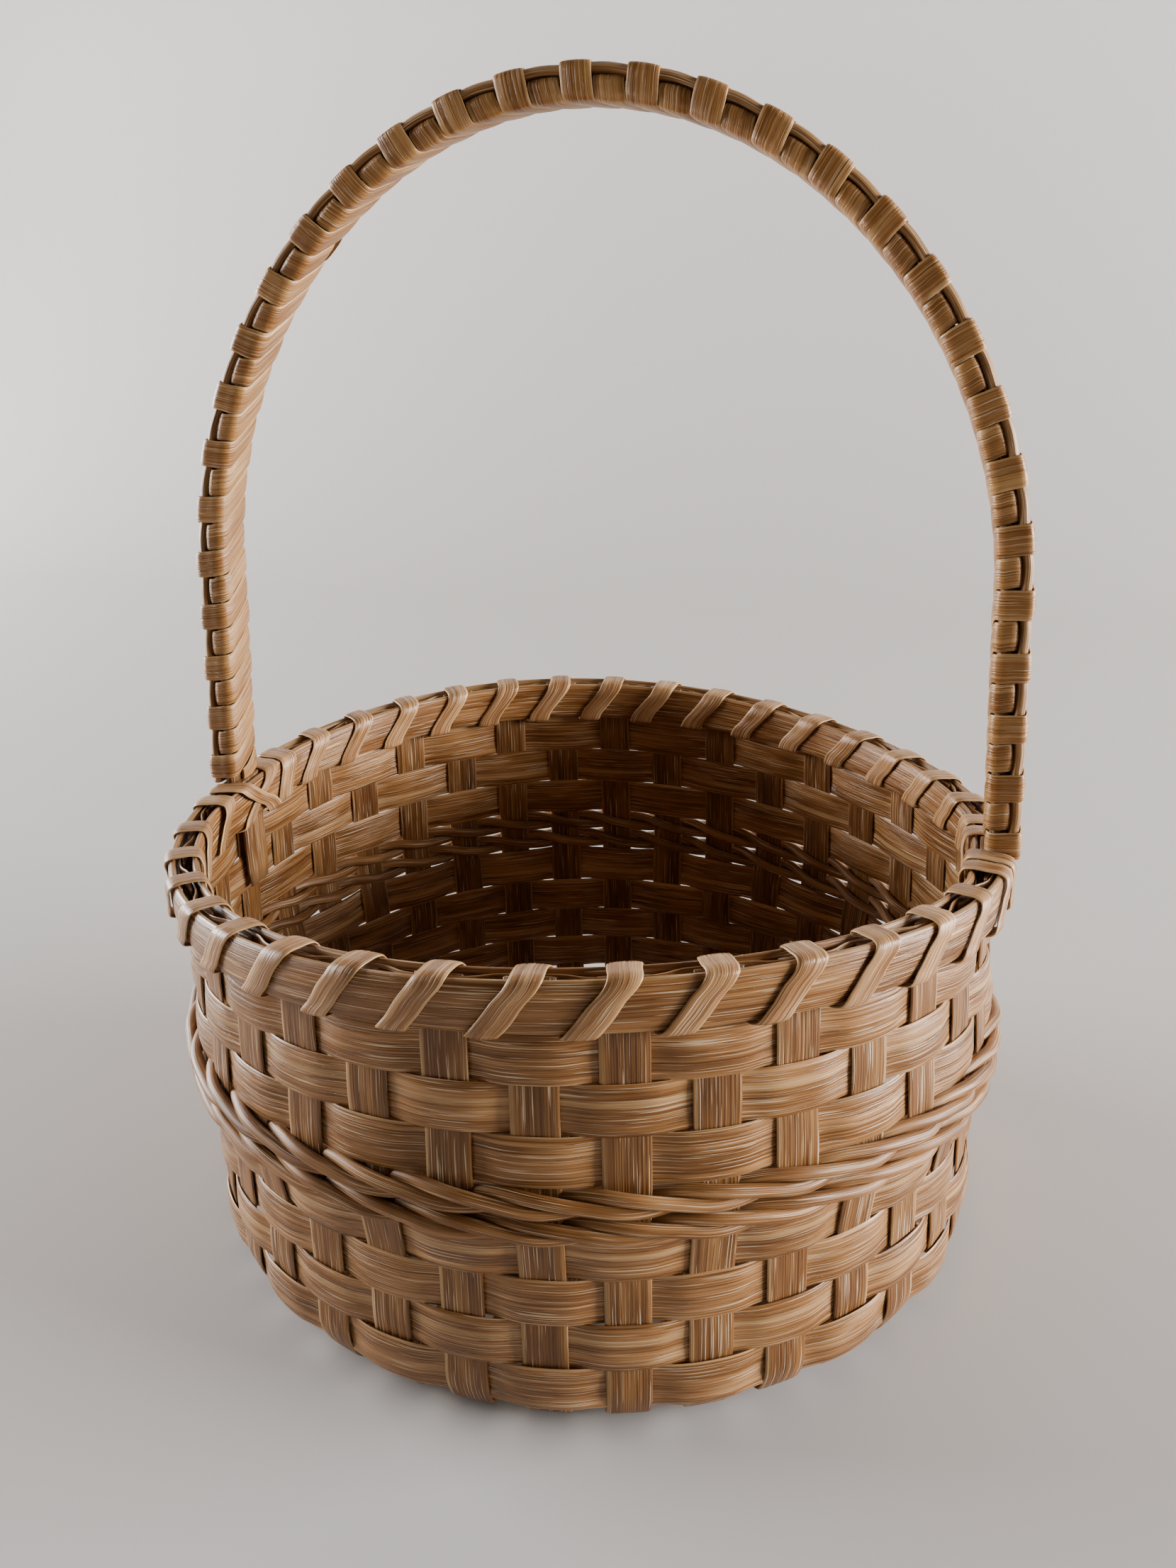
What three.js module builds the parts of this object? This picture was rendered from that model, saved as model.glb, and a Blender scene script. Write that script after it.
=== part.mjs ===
// Gathering basket of flat and round reed with a wrapped hoop handle.
// Millimetres, +Z up, origin on the floor at the bottom centre, handle in the XZ plane.
import * as THREE from "three";

// Driving dimensions
const spokesEachWay = 9; // spokes laid each way across the base, every one of them two stakes of the wall
const stakeWidth = 14;
const stakeThick = 1.1;
const basePitch = 18; // spacing of the spokes where they are woven across the base
const clear = 0.3; // gap kept between pieces that touch

const weaverWidth = 15.6; // flat reed of the wall rows
const weaverThick = 1;
const rowGap = 0.5; // upright gap between two rows
const rowsBelowWale = 4;
const rowsAboveWale = 3;

const rodRadius = 2.15; // round reed of the waling band
const rodClimb = 2.35; // half the height that a rod falls while it floats outside
const rodSpring = 0.5; // how far it stands off the stakes there
const waleRounds = 2;
const waleGap = 0.4;

const twineRadius = 1.3; // thinner round reed twined round the base, which spreads the stakes
const twineStrands = 4; // two by two, each over the stakes that the other passes under
const twinePitch = 3.4;
const twineAboveFloor = 0.5;
const twineReach = 1; // how far the outermost strand lies beyond the place where the stakes begin to rise
const fanLead = 1.8; // how far inside the innermost strand the stakes lie level

const turnIn = 3.3; // how far inside the foot of the wall the stakes turn up
const turnLength = 7.5; // how far out they rise gently before that
const turnRise = 0.8;
const footRadius = 141.8; // of the middle of a stake at the foot of the wall
const footHeight = 10.5;
const lowSwell = [1.2, 26.7]; // how far the wall stands out beyond its foot, and at what height
const midSwell = [0.5, 58.9];
const highSwell = [3.5, 84.5];
const wallDrawIn = 0.046; // how far the wall draws in from there to the rim, for each millimetre up
const ovalShare = 0.0286; // share by which the basket is wider along the handle and narrower across it
const rimSag = 5.75; // how far the rim lies lower on two sides and higher on the two between
const sagAngle = 24.3; // degrees from the right leg to the lowest place of the rim

const rimHeight = 16;
const rimWeaverShift = 1.5; // how far the hidden weaver inside the rim swings to either side of the stakes
const hoopSeat = 2.4; // from the middle of the stakes to the facing side of a hoop
const outerHoopThick = 3.2;
const innerHoopThick = 2.8;
const stakeBelowRim = 0.6; // the stakes end this much below the top of the hoops

const lasherWidth = 9.2; // measured along the rim
const lasherThick = 0.8;
const lasherSeat = 0.45; // gap between the lasher and the hoops
const lasherCorner = 0.9; // size of its rounded turns over the rim
const lasherEase = 0.12; // share of its sideways step that is made in the turns over the rim
const legSide = 5.7; // degrees from the leg where the lasher passes beside it
const legEnd = 7.3; // degrees before the other leg where it ends
const crossSide = 5.3; // degrees from the leg where the second arm of its cross comes over the rim
const crossEnd = 3.8; // and where that arm ends, on the other side of the leg

const coreWidth = 16;
const coreThick = 5;
const tailThick = 2.4; // the core is cut down to this below its shoulder
const tailWidth = 15;
const tailLength = 31; // how far the core runs down inside the wall, below the rim
const tailSpread = 0.4; // how far the tail leans out below the rim, along the wall
const shoulder = 2.3; // height of the shoulder where the tail widens into the leg
const legStep = 5; // how far the leg steps out there, over the ends of the stakes
const overlayWidth = 15;
const overlayThick = 2.5;
const archSpring = 240.6; // height where the straight legs end
const archDrawIn = 4; // how far the arch stands in from the feet of its legs
const archTop = 395.8; // to the outer side of the core
const handleLean = 0.05; // how far the handle leans to +Y for each millimetre above the rim
const archPieces = 52; // straight pieces that make up the bent core
const overlayPieces = 48;
const wrapWidth = 9.5;
const wrapThick = 0.8;
const wrapTurns = 20; // turns in each of the three lengths of reed
const wrapLengths = 3;
const wrapCorner = 0.55;
const wrapSlant = 0.7; // share of each turn's advance that is made on the inner side

// Worked out from them
const stakes = 4 * spokesEachWay;
const step = 360 / stakes; // degrees between stakes
const halfStep = step / 2;
const baseLow = stakeThick / 2;
const baseHigh = baseLow + stakeThick + clear;
const reach = (spokesEachWay - 1) / 2;
const fanHeight = twineAboveFloor + 2 * twineRadius + clear + stakeThick / 2; // of the stakes in the twining
const turnRadius = footRadius - turnIn;
const turnStart = turnRadius - turnLength;
const twineInner = turnStart + twineReach - (twineStrands - 1) * twinePitch; // radius of the innermost strand
const fanStart = twineInner - fanLead;
const wall = [[0, footHeight], lowSwell, midSwell, highSwell].map(([swell, z]) => [footRadius + swell, z]);
const [highRadius, highHeight] = wall[wall.length - 1];
const weaverSeat = stakeThick / 2 + clear + weaverThick / 2; // from the middle of a stake to a weaver's

const radians = THREE.MathUtils.degToRad;

// A point at a radius, an angle in degrees and a height.
function polar(radius, angle, z) {
  return new THREE.Vector3(radius * Math.cos(radians(angle)), radius * Math.sin(radians(angle)), z);
}

function outward(angle) {
  return polar(1, angle, 0);
}

function around(angle) {
  return polar(1, angle + 90, 0);
}

// A closed solid through rings of points: a ring of reed when it is closed, and capped at its ends when not.
function loft(rings, closed = false) {
  const sides = rings[0].length;
  const position = rings.flat().flatMap((point) => point.toArray());
  const index = [];
  const spans = closed ? rings.length : rings.length - 1;
  for (let i = 0; i < spans; i++) {
    const here = i * sides;
    const next = ((i + 1) % rings.length) * sides;
    for (let k = 0; k < sides; k++) {
      const l = (k + 1) % sides;
      index.push(here + k, here + l, next + l, here + k, next + l, next + k);
    }
  }
  if (!closed) {
    const last = (rings.length - 1) * sides;
    for (let k = 1; k < sides - 1; k++) {
      index.push(0, k + 1, k, last, last + k, last + k + 1);
    }
  }
  if (signedVolume(position, index) < 0) index.reverse();
  const geometry = new THREE.BufferGeometry();
  geometry.setAttribute("position", new THREE.Float32BufferAttribute(position, 3));
  geometry.setIndex(index);
  geometry.computeVertexNormals();
  return geometry;
}

function signedVolume(position, index) {
  const corner = (i) => new THREE.Vector3().fromArray(position, 3 * index[i]);
  let sum = 0;
  for (let i = 0; i < index.length; i += 3) {
    sum += corner(i).dot(corner(i + 1).cross(corner(i + 2)));
  }
  return sum / 6;
}

// The four corners of a flat reed's section, from its middle and two unit directions.
function flatSection(middle, across, out, width, thick) {
  const corners = [[-1, -1], [1, -1], [1, 1], [-1, 1]];
  return corners.map(([a, b]) =>
    middle.clone().addScaledVector(across, (a * width) / 2).addScaledVector(out, (b * thick) / 2));
}

// A round reed's section, four-sided with its corners up, down, in and out.
function rodSection(middle, across, out, radius) {
  const corners = [[-1, 0], [0, -1], [1, 0], [0, 1]];
  return corners.map(([a, b]) =>
    middle.clone().addScaledVector(across, a * radius).addScaledVector(out, b * radius));
}

// Where a place on the even basket lies on the finished one, which is a little oval and sags at two sides.
function settle(point) {
  const share = Math.hypot(point.x, point.y) / wallTop;
  const turn = Math.atan2(point.y, point.x) - radians(sagAngle);
  const fall = (rimSag / rimTop) * share * share * Math.cos(2 * turn);
  return new THREE.Vector3(point.x * (1 + ovalShare), point.y * (1 - ovalShare), point.z * (1 - fall));
}

// Radius of the middle of a stake at a height on the wall.
function wallRadius(z) {
  if (z > highHeight) return highRadius - (z - highHeight) * wallDrawIn;
  const i = Math.max(wall.findIndex((point) => z <= point[1]), 1);
  const [r0, z0] = wall[i - 1];
  const [r1, z1] = wall[i];
  return r0 + ((r1 - r0) * (z - z0)) / (z1 - z0);
}

// Heights of the rows from the floor up; a row that leans is lower than the reed is wide.
function stackRows() {
  const rows = [];
  let z = footHeight + clear;
  for (let i = 0; i < rowsBelowWale; i++) {
    rows.push(z);
    z += leaningHeight(z, weaverWidth) + rowGap;
  }
  const wale = z;
  z += waleRounds * (2 * rodClimb + 2 * rodRadius + waleGap) - waleGap + rowGap;
  for (let i = 0; i < rowsAboveWale; i++) {
    rows.push(z);
    z += leaningHeight(z, weaverWidth) + rowGap;
  }
  return { rows, wale, rimFoot: z - rowGap + 2 * clear + lasherThick };
}

function leaningHeight(z, width) {
  const slope = wallRadius(z + width / 2 + 1) - wallRadius(z + width / 2 - 1);
  return (width * 2) / Math.hypot(slope, 2);
}

const { rows, wale, rimFoot } = stackRows(); // bottoms of the rows, of the waling band and of the hoops
const rimTop = rimFoot + rimHeight;
const wallTop = wallRadius(rimFoot); // the stakes stand upright inside the rim

// One spoke: woven across the base, fanned out at both ends and turned up into two stakes.
function spoke(row, overFirst) {
  const y = row * basePitch;
  const rings = [];
  const sideways = new THREE.Vector3(0, 1, 0);
  const up = new THREE.Vector3(0, 0, 1);
  for (let i = -reach; i <= reach; i++) {
    const z = Math.abs(i + row + overFirst) % 2 === 0 ? baseHigh : baseLow;
    for (const edge of [-1, 1]) {
      const x = i * basePitch + (edge * (stakeWidth + clear)) / 2;
      rings.push(flatSection(new THREE.Vector3(x, y, z), sideways, up, stakeWidth, stakeThick));
    }
  }
  const right = stakeRings(row);
  const left = right.map((ring) => ring.map((p) => new THREE.Vector3(-p.x, p.y, p.z)));
  return [...left.reverse(), ...rings, ...right];
}

// Where a stake crosses a radius on its straight way from the woven base to its turn, on the +X side of the
// base, and the direction across it there.
function fanPlace(row, radius) {
  const start = new THREE.Vector3(reach * basePitch + stakeWidth / 2, row * basePitch, 0);
  const heading = polar(turnStart, row * step, 0).sub(start).normalize();
  const along = start.dot(heading);
  const distance = -along + Math.sqrt(along * along - start.lengthSq() + radius * radius);
  const middle = start.addScaledVector(heading, distance);
  return { middle, across: new THREE.Vector3(-heading.y, heading.x, 0) };
}

// The stake beyond the woven base: level through the twining, then up the wall to the rim.
function stakeRings(row) {
  const angle = row * step;
  const out = outward(angle);
  const across = around(angle);
  const up = new THREE.Vector3(0, 0, 1);
  const level = fanPlace(row, fanStart);
  const turn = fanPlace(row, turnStart);
  const places = [
    [level.middle.setZ(fanHeight), level.across, up],
    [turn.middle.setZ(fanHeight), turn.across.add(across).normalize(), up],
  ];
  const line = [[turnStart, fanHeight], [turnRadius, fanHeight + turnRise], ...wall, [wallTop, rimFoot]];
  for (let i = 1; i < line.length; i++) {
    const [r0, z0] = line[i - 1];
    const [r1, z1] = line[i];
    const [r2, z2] = line[i + 1] ?? [wallTop, rimTop];
    const before = new THREE.Vector2(r1 - r0, z1 - z0).normalize();
    const after = new THREE.Vector2(r2 - r1, z2 - z1).normalize();
    const along = before.add(after);
    places.push([polar(r1, angle, z1), across, tilted(out, along.x, -along.y)]);
  }
  places.push([polar(wallTop, angle, rimTop - stakeBelowRim), across, out.clone().negate()]);
  return places.map(([middle, side, face]) => flatSection(middle, side, face, stakeWidth, stakeThick));
}

// A unit direction that points up by one share and outward by another.
function tilted(out, upShare, outShare) {
  return new THREE.Vector3(0, 0, upShare).addScaledVector(out, outShare).normalize();
}

// A flat weaver: flat on the outside of every second stake and on the inside of the others.
function weaverRow(bottom, outsideEven) {
  const height = leaningHeight(bottom, weaverWidth);
  const rBottom = wallRadius(bottom);
  const rTop = wallRadius(bottom + height);
  const lean = Math.atan2(rTop - rBottom, height);
  const rings = [];
  for (let k = 0; k < stakes; k++) {
    const outside = (k % 2 === 0) === outsideEven;
    const shift = ((outside ? 1 : -1) * weaverSeat) / Math.cos(lean);
    const along = tilted(outward(k * step), Math.cos(lean), Math.sin(lean));
    const face = tilted(outward(k * step), -Math.sin(lean), Math.cos(lean));
    for (const edge of [-1, 1]) {
      const middle = polar((rBottom + rTop) / 2 + shift, k * step, bottom + height / 2);
      middle.addScaledVector(around(k * step), edge * (stakeWidth / 2 + clear));
      rings.push(flatSection(middle, along, face, weaverWidth, weaverThick));
    }
  }
  return rings;
}

// The weaver hidden between the hoops lies close to the stakes.
function rimWeaver(outsideEven) {
  const height = rimHeight - stakeBelowRim;
  const rings = [];
  for (let k = 0; k < stakes; k++) {
    const outside = (k % 2 === 0) === outsideEven;
    const out = outward(k * step);
    for (const edge of [-1, 1]) {
      const middle = out.clone().multiplyScalar(wallTop + (outside ? rimWeaverShift : -rimWeaverShift));
      middle.addScaledVector(around(k * step), edge * (stakeWidth / 2 + clear));
      middle.z = rimFoot + height / 2;
      rings.push(flatSection(middle, new THREE.Vector3(0, 0, 1), out, height, weaverThick));
    }
  }
  return rings;
}

// A rod of the waling band: inside one stake, outside the next two, and falling while it floats outside.
function waleRod(bottom, firstStake) {
  const middleHeight = bottom + rodRadius + rodClimb;
  const half = stakeThick / 2 + clear + rodRadius;
  const edge = (stakeWidth / 2 + clear) / (wallRadius(middleHeight) * radians(step));
  const pattern = [
    [edge, -half, 1],
    [1 - edge, half + rodSpring, 1],
    [1 + edge, half + rodSpring, 1],
    [2 - edge, half + rodSpring, -1],
    [2 + edge, half + rodSpring, -1],
    [3 - edge, -half, -1],
  ];
  const tuck = 0.05; // both ends stop just short of each other behind the first stake
  const places = [[tuck, -half, 0]];
  for (let turn = 0; turn < stakes; turn += 3) {
    pattern.forEach(([at, shift, climb]) => places.push([turn + at, shift, climb]));
  }
  places.push([stakes - tuck, -half, 0]);
  return places.map(([at, shift, climb]) => {
    const angle = (firstStake + at) * step;
    const z = middleHeight + climb * rodClimb;
    const middle = polar(wallRadius(z) + shift, angle, z);
    return rodSection(middle, new THREE.Vector3(0, 0, 1), outward(angle), rodRadius);
  });
}

// A strand of the twining round the base: over one stake and under the next.
function twineStrand(radius, overEven) {
  const lift = stakeThick / 2 + clear + twineRadius;
  const up = new THREE.Vector3(0, 0, 1);
  const rings = [];
  for (let k = 0; k < stakes; k++) {
    const over = (k % 2 === 0) === overEven;
    const side = Math.floor((k + reach) / spokesEachWay);
    const { middle, across } = fanPlace(((k + reach) % spokesEachWay) - reach, radius);
    for (const edge of [-1, 1]) {
      const place = middle.clone().addScaledVector(across, edge * (stakeWidth / 2 + clear));
      place.setZ(fanHeight + (over ? lift : -lift));
      const out = place.clone().setZ(0).normalize();
      rings.push(rodSection(place, up, out, twineRadius)
        .map((point) => point.applyAxisAngle(up, (side * Math.PI) / 2)));
    }
  }
  return rings;
}

const footX = wallTop - rimWeaverShift - weaverThick / 2 - clear; // outer side of the handle's tails
const legX = footX + legStep; // and of its legs
const archHalfWidth = legX - archDrawIn;

// How far the inner hoop stands in to leave room for the legs of the handle, at an angle round the rim.
function legRoom(angle) {
  const toLeg = Math.abs(((((angle + 90) % 180) + 180) % 180) - 90);
  const share = THREE.MathUtils.clamp(1 - (toLeg - halfStep) / step, 0, 1);
  return share * (wallTop - hoopSeat - (footX - tailThick - clear));
}

// A hoop of the rim, one flat side to each stake, from the radii of its two sides.
function hoop(inside, outside, room = () => 0) {
  const rings = [];
  for (let k = 0; k < stakes; k++) {
    const angle = (k + 0.5) * step;
    const inner = (inside - room(angle)) / Math.cos(radians(halfStep));
    const outer = (outside - room(angle)) / Math.cos(radians(halfStep));
    rings.push([
      polar(inner, angle, rimFoot),
      polar(outer, angle, rimFoot),
      polar(outer, angle, rimTop),
      polar(inner, angle, rimTop),
    ]);
  }
  return rings;
}

const outerHoopOut = wallTop + hoopSeat + outerHoopThick;
const innerHoopIn = wallTop - hoopSeat - innerHoopThick;

// The lasher's section at an angle: its place round the rim's own section, and the way it faces there.
function lasherSection(angle, r, z, faceOut, faceUp) {
  const face = tilted(outward(angle), faceUp, faceOut);
  return flatSection(polar(r, angle, z), around(angle), face, lasherWidth, lasherThick);
}

// One loop of the lasher: up the outside, over the top, down the inside and out again below the hoops.
function lasherLoop(start, top, end, insideShift = 0) {
  const off = lasherSeat + lasherThick / 2;
  const outR = outerHoopOut / Math.cos(radians(halfStep)) + off;
  const room = (angle) => Math.max(legRoom(angle - 2), legRoom(angle + 2));
  const inR = (angle) => innerHoopIn - off - room(angle) - insideShift;
  const low = rimFoot - clear - lasherThick / 2;
  const high = rimTop + off;
  const upTo = top - (top - start) * lasherEase;
  const downFrom = top + (end - top) * lasherEase;
  return [
    lasherSection(start, outR, low, 0.7, -0.7),
    lasherSection(upTo, outR, high - lasherCorner, 1, 0.35),
    lasherSection(top, outR - lasherCorner, high, 0.35, 1),
    lasherSection(top, inR(top) + lasherCorner, high, -0.35, 1),
    lasherSection(downFrom, inR(top), high - lasherCorner, -1, 0.35),
    lasherSection(end, inR(end), low, -0.7, -0.7),
  ];
}

// Half of the lashing, from one leg of the handle to the other; its first loop steps back beside the leg.
function lashingRings(from) {
  const rings = [];
  for (let k = 0; k < stakes / 2; k++) {
    const start = from - halfStep + k * step;
    const top = k === 0 ? from - legSide : start + halfStep;
    const end = k === stakes / 2 - 1 ? from + 180 - legEnd : start + step;
    rings.push(...lasherLoop(start, top, end));
  }
  return rings;
}

// The other arm of the cross that ties each leg: over the rim beside the leg and down across it inside.
function legCrossRings(from) {
  const loop = lasherLoop(from + halfStep, from + crossSide, from - crossEnd, lasherThick + clear);
  return loop.slice(2);
}

// The outer side of the handle's core, from the left leg at the rim over the top to the right leg.
const handleLine = new THREE.Path();
handleLine.moveTo(-legX, rimTop);
handleLine.lineTo(-archHalfWidth, archSpring);
handleLine.absellipse(0, archSpring, archHalfWidth, archTop - archSpring, Math.PI, 0, true);
handleLine.lineTo(legX, rimTop);
handleLine.arcLengthDivisions = 2000;
const handleLength = handleLine.getLength();

// A place on the handle: along the line, across it, and above the core's outer side.
function onHandle(along, across, above) {
  const share = THREE.MathUtils.clamp(along / handleLength, 0, 1);
  const point = handleLine.getPointAt(share);
  const tangent = handleLine.getTangentAt(share);
  const z = point.y + tangent.x * above;
  return new THREE.Vector3(point.x - tangent.y * above, across + (z - rimTop) * handleLean, z);
}

// A length of handle between two places, as wide as told and between two heights above the core's face.
function handleStrip(from, to, pieces, width, low, high) {
  const rings = [];
  for (let i = 0; i <= pieces; i++) {
    const along = from + ((to - from) * i) / pieces;
    rings.push([
      onHandle(along, -width / 2, low),
      onHandle(along, width / 2, low),
      onHandle(along, width / 2, high),
      onHandle(along, -width / 2, high),
    ]);
  }
  return rings;
}

// The core: a bent hoop with a shoulder above the rim and a thin tail down inside the wall at each end.
function handleCore() {
  const arch = handleStrip(shoulder, handleLength - shoulder, archPieces, coreWidth, -coreThick, 0);
  const half = tailWidth / 2;
  const tail = [
    [footX + tailSpread, rimFoot - tailLength],
    [footX + tailSpread, rows[rows.length - 1]],
    [footX, rimFoot],
    [footX, rimTop],
  ];
  const rings = tail.map(([x, z]) => [
    new THREE.Vector3(-x + tailThick, -half, z),
    new THREE.Vector3(-x + tailThick, half, z),
    new THREE.Vector3(-x, half, z),
    new THREE.Vector3(-x, -half, z),
  ]);
  const mirrored = rings.map((ring) => ring.map((p) => new THREE.Vector3(-p.x, p.y, p.z))).reverse();
  return [...rings, ...arch, ...mirrored];
}

const underLow = clear;
const overlayLow = underLow + wrapThick + clear;
const overLow = overlayLow + overlayThick + clear;
const wrapStart = shoulder + clear + wrapWidth / 2;
const wrapPitch = (handleLength - 2 * wrapStart) / (wrapTurns * wrapLengths);

// One turn of the wrap round the core, under the overlay or over it; most of its advance is made inside.
function wrapTurn(number) {
  const over = number % 2 === 0;
  const start = wrapStart + number * wrapPitch;
  const side = coreWidth / 2 + clear + wrapThick / 2;
  const bottom = -coreThick - clear - wrapThick / 2;
  const top = (over ? overLow : underLow) + wrapThick / 2;
  const edge = ((1 - wrapSlant) * wrapPitch) / 3;
  const c = wrapCorner;
  const cos = Math.cos(Math.PI / 8);
  const sin = Math.sin(Math.PI / 8);
  const rounded = [
    [edge, side, top - c, cos, sin],
    [edge, side - c, top, sin, cos],
    [2 * edge, -side + c, top, -sin, cos],
    [2 * edge, -side, top - c, -cos, sin],
  ];
  const hidden = [
    [edge, side, top, cos, cos],
    [2 * edge, -side, top, -cos, cos],
  ];
  const stations = [
    [0, side - c, bottom, sin, -cos],
    [0, side, bottom + c, cos, -sin],
    ...(over ? rounded : hidden),
    [3 * edge, -side, bottom + c, -cos, -sin],
    [3 * edge, -side + c, bottom, -sin, -cos],
  ];
  const half = wrapThick / 2 / cos;
  return stations.map(([advance, across, above, faceAcross, faceAbove]) => {
    const at = (s, f) => onHandle(start + advance + (s * wrapWidth) / 2,
      across + f * half * faceAcross, above + f * half * faceAbove);
    return [at(-1, -1), at(1, -1), at(1, 1), at(-1, 1)];
  });
}

function wrapRings(length) {
  const rings = [];
  for (let i = 0; i < wrapTurns; i++) {
    rings.push(...wrapTurn(length * wrapTurns + i));
  }
  return rings;
}

// Least distance between the points of a winding that lie more than half a turn apart along it.
function leastGap(rings) {
  const halfTurn = 3;
  let least = Infinity;
  for (let i = 0; i < rings.length; i++) {
    for (let j = i + halfTurn + 1; j < rings.length; j++) {
      for (const p of rings[i]) {
        for (const q of rings[j]) {
          least = Math.min(least, p.distanceTo(q));
        }
      }
    }
  }
  return least;
}

// The assembly
const basket = new THREE.Group();
basket.name = "gathering_basket";

function add(name, rings, color, closed = false) {
  const geometry = loft(rings.map((ring) => ring.map(settle)), closed);
  const material = new THREE.MeshStandardMaterial({ color, roughness: 0.62, metalness: 0 });
  const mesh = new THREE.Mesh(geometry, material);
  mesh.name = name;
  basket.add(mesh);
}

function addWinding(name, rings, color) {
  const gap = leastGap(rings.map((ring) => ring.map(settle)));
  console.log(name + ": least gap to itself " + gap.toFixed(2) + " mm");
  add(name, rings, color);
}

for (let i = 0; i < spokesEachWay; i++) {
  add("spoke_x_" + (i + 1), spoke(i - reach, 0), "#a98558");
}
for (let i = 0; i < spokesEachWay; i++) {
  const rings = spoke(reach - i, 1).map((ring) => ring.map((p) => new THREE.Vector3(-p.y, p.x, p.z)));
  add("spoke_y_" + (i + 1), rings, "#9f7c50");
}

for (let i = 0; i < twineStrands; i++) {
  add("base_twining_" + "abcd"[i], twineStrand(twineInner + i * twinePitch, i % 2 === 0), "#a87848", true);
}

// Rows are numbered from the rim down, and the lowest one passes outside the even stakes.
rows.forEach((bottom, i) => {
  const number = rows.length - i;
  add("weaver_row_" + number, weaverRow(bottom, number % 2 === 1), "#b8976c", true);
});

for (let round = 0; round < waleRounds; round++) {
  const bottom = wale + round * (2 * rodClimb + 2 * rodRadius + waleGap);
  for (let strand = 0; strand < 3; strand++) {
    add("wale_" + ["lower", "upper"][round] + "_" + "abc"[strand], waleRod(bottom, strand), "#b58a5c");
  }
}

add("rim_weaver", rimWeaver(false), "#a98558", true);
add("rim_outer_hoop", hoop(wallTop + hoopSeat, outerHoopOut), "#b3906a", true);
add("rim_inner_hoop", hoop(innerHoopIn, wallTop - hoopSeat, legRoom), "#a67c52", true);

addWinding("rim_lashing_a", lashingRings(0), "#b88e5c");
addWinding("rim_lashing_b", lashingRings(180), "#b88e5c");
add("leg_cross_right", legCrossRings(0), "#b88e5c");
add("leg_cross_left", legCrossRings(180), "#b88e5c");

add("handle_core", handleCore(), "#a87c4c");
const overlayEnd = 2 * clear;
const overlayRings = handleStrip(overlayEnd, handleLength - overlayEnd, overlayPieces, overlayWidth,
  overlayLow, overlayLow + overlayThick);
add("handle_overlay", overlayRings, "#8f6235");
for (let i = 0; i < wrapLengths; i++) {
  addWinding("handle_wrap_" + "abc"[i], wrapRings(i), "#c39a68");
}

export default basket;
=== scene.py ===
import math
import random

import bpy
import numpy as np
from mathutils import Matrix, Vector


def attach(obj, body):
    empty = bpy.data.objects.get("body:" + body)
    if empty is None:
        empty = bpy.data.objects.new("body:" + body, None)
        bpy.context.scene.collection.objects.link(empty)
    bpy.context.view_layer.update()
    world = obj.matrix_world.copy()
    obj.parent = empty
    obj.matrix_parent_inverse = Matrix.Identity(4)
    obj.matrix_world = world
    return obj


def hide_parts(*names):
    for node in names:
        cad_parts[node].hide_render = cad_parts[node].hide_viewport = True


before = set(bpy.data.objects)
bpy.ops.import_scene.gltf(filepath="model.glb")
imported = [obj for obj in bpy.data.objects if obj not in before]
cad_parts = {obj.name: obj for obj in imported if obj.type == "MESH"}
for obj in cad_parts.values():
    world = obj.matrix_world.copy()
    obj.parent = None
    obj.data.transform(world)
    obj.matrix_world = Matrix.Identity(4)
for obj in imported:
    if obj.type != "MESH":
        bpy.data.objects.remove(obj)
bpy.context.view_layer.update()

spokesEachWay, middleSpoke = 9, 5
stakes = 4 * spokesEachWay
step = 360 / stakes  # degrees between two stakes
stake = {"width": 14.0, "thick": 1.1, "dome": 0.12, "hollow": -0.05, "sway": 0.25, "lean": 0.25,
         "belowRim": 0.6, "uneven": 0.9}
turnHeight, turnRadius = 4.75, 138.5  # where a stake turns up
footHeight = 10.5  # and where it stands upright
rimFoot, rimTop = 143.1, 159.1
wallTop = 142.6  # radius of the stakes inside the rim
rowMiddle = {7: 18.6, 6: 34.7, 5: 50.7, 4: 66.8, 3: 101.7, 2: 117.8, 1: 133.9}


# The angle is in degrees
def polar(radius, angle, z):
    turn = np.radians(angle)
    return np.stack(np.broadcast_arrays(radius * np.cos(turn), radius * np.sin(turn), z), axis=-1)


def unit(v):
    return v / np.linalg.norm(v, axis=-1, keepdims=True)


def reachAlong(points):
    return np.concatenate([[0], np.cumsum(np.linalg.norm(np.diff(points, axis=0), axis=1))])


# Values on a smooth line through known ones
def easeThrough(knots, values, at):
    knots, values, at = (np.asarray(a, float) for a in (knots, values, at))
    slopes = np.gradient(values, knots, axis=0)
    i = np.clip(np.searchsorted(knots, at, "right") - 1, 0, len(knots) - 2)
    span = knots[i + 1] - knots[i]
    t = (at - knots[i]) / span
    if values.ndim > 1:
        t, span = t[..., None], span[..., None]
    return ((2 * t**3 - 3 * t**2 + 1) * values[i] + (t**3 - 2 * t**2 + t) * span * slopes[i]
            + (3 * t**2 - 2 * t**3) * values[i + 1] + (t**3 - t**2) * span * slopes[i + 1])


# The same along a line of points, with as many places as the spacing asks for
def smoothLine(points, spacing):
    points = np.asarray(points, float)
    reach = reachAlong(points[:, :3])
    at = np.linspace(0, reach[-1], max(2, int(reach[-1] / spacing) + 1))
    return easeThrough(reach, points, at)


# A slow wave that meets itself at the reed's end, for the unevenness of cut and laid reed
def wander(share, cycles, amount, key):
    dice = random.Random(key)
    wave = 0
    for times, size in ((1, 1.0), (1.7, 0.6), (2.9, 0.35)):
        wave = wave + size * np.sin(2 * np.pi * round(cycles * times) * share + dice.uniform(0, 6.28))
    return amount * wave / 1.4  # the three waves together swing by about this much


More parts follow.
